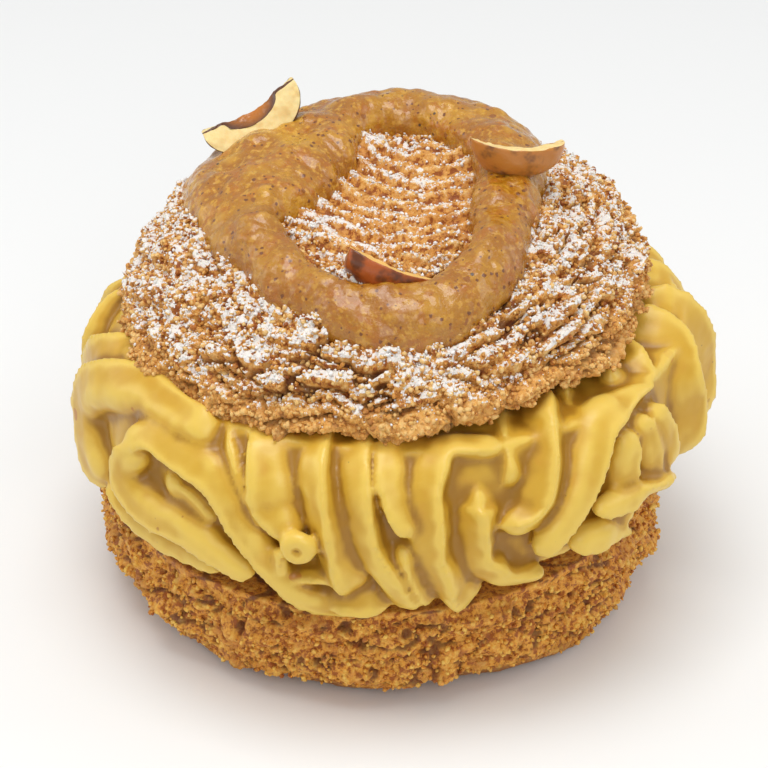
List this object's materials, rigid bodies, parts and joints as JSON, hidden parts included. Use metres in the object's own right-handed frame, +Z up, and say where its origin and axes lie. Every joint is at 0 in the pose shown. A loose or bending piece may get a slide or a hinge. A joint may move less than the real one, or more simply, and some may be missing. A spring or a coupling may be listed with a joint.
{
  "type": "paris-brest pastry",
  "caption": "Ring-shaped choux pastry for one: two rough baked crusts with piped praline cream between them, topped with praline sauce and hazelnut pieces.",
  "frame": {"origin": "centre of the flat foot that the bottom crust rests on", "axes": "+Z up out of the foot, -Y towards the viewer of the picture (the front of the pastry), +X to the viewer's right"},
  "size_m": [0.093, 0.0898, 0.0717],
  "materials": {
    "choux_crust": "baked brown craquelin, rough, dusted with icing sugar on the cap",
    "praline_cream": "soft satin, mustard yellow with fine praline flecks",
    "praline_sauce": "wet, mottled tan and orange",
    "hazelnut_kernel": "pale cut face, toasted brown skin"
  },
  "bodies": {
    "root": {"bottom_crust": "choux_crust", "top_crust": "choux_crust", "praline_cream": "praline_cream", "praline_ring": "praline_sauce", "hazelnut_left": "hazelnut_kernel", "hazelnut_right": "hazelnut_kernel", "hazelnut_front": "hazelnut_kernel"}
  },
  "joints": []
}
